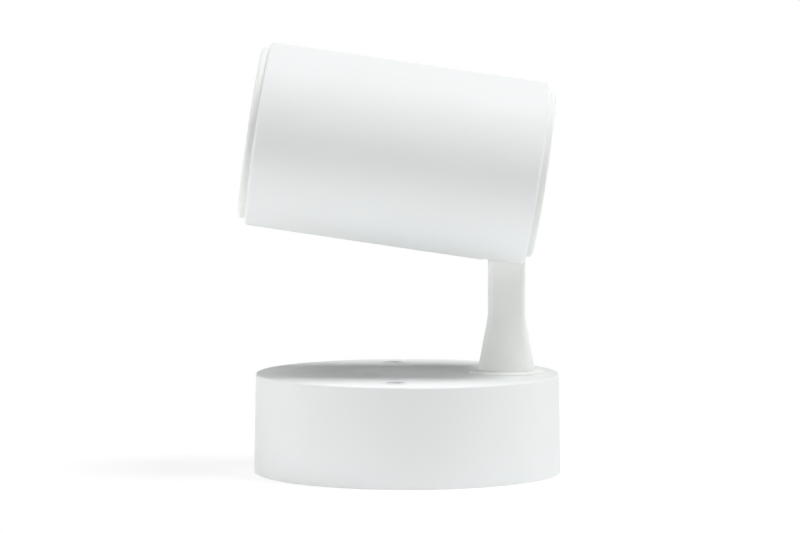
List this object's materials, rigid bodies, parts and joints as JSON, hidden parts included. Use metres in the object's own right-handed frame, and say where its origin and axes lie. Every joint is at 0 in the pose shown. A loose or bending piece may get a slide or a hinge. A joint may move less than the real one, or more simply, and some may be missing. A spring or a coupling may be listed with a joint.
{
  "type": "surface mounted ceiling spotlight",
  "caption": "Round canopy with the driver inside, a swivelling arm near its rim and a tubular lamp head that tilts on the end of the arm.",
  "frame": {"origin": "centre of the canopy's mounting face, midway between the two ceiling screws", "axes": "+Z away from the ceiling, so that the object stands on its canopy as pictured and hangs upside down in use; +X from the canopy's centre to the swivel axis; the head points along -X at rest"},
  "size_m": [0.105, 0.1, 0.1396],
  "materials": {
    "white_coat": "satin",
    "zinc_steel": "satin",
    "bare_aluminium": "matte",
    "bright_aluminium": "polished",
    "brass": "satin",
    "white_nylon": "matte",
    "black_rubber": "matte",
    "clear_glass": "gloss",
    "phosphor": "satin",
    "driver_plastic": "matte",
    "circuit_board": "satin",
    "black_component": "satin",
    "brown_insulation": "satin",
    "blue_insulation": "satin",
    "earth_insulation": "satin",
    "white_insulation": "satin"
  },
  "bodies": {
    "base": {"base_cover": "white_coat", "cable_grommet": "black_rubber", "cover_pillars": "zinc_steel", "cover_screws": "zinc_steel", "driver_board": "circuit_board", "driver_capacitors": "black_component", "driver_case": "driver_plastic", "driver_choke": "black_component", "driver_lead": "white_insulation", "driver_lid": "driver_plastic", "driver_screws": "zinc_steel", "driver_transformer": "black_component", "earth_lead": "earth_insulation", "earth_lug": "brass", "earth_screw": "zinc_steel", "live_lead": "brown_insulation", "mounting_plate": "zinc_steel", "neutral_lead": "blue_insulation", "stop_pin": "zinc_steel", "swivel_collar": "white_coat", "terminal_block": "white_nylon", "terminal_fixing_screws": "zinc_steel", "terminal_screws": "brass"},
    "arm": {"arm": "white_coat", "swivel_tube": "zinc_steel", "thrust_washer": "white_nylon", "stop_washer": "zinc_steel", "swivel_spring_washer": "zinc_steel", "swivel_nut": "zinc_steel", "pivot_tube": "zinc_steel", "pivot_spring_washer": "zinc_steel", "pivot_nut": "zinc_steel", "arm_lead": "white_insulation"},
    "head": {"head_tube": "white_coat", "front_bezel": "white_coat", "front_glass": "clear_glass", "glass_gasket": "black_rubber", "reflector": "bright_aluminium", "led_board": "bare_aluminium", "led_emitter": "phosphor", "led_holder": "white_nylon", "holder_screws": "zinc_steel", "heat_sink": "bare_aluminium", "pivot_bracket": "zinc_steel", "bracket_screws": "zinc_steel", "friction_washers": "white_nylon", "rear_cap": "white_coat", "rear_screws": "zinc_steel", "head_lead": "white_insulation"}
  },
  "joints": [
    {"name": "pan", "type": "hinge", "parent": "base", "child": "arm", "pos_m": [0.0323, 0, 0.032], "axis": [0, 0, 1], "range_deg": [-165, 165]},
    {"name": "tilt", "type": "hinge", "parent": "arm", "child": "head", "pos_m": [0.0323, 0, 0.0799], "axis": [0, 1, 0], "range_deg": [-8.4, 81.6]}
  ]
}
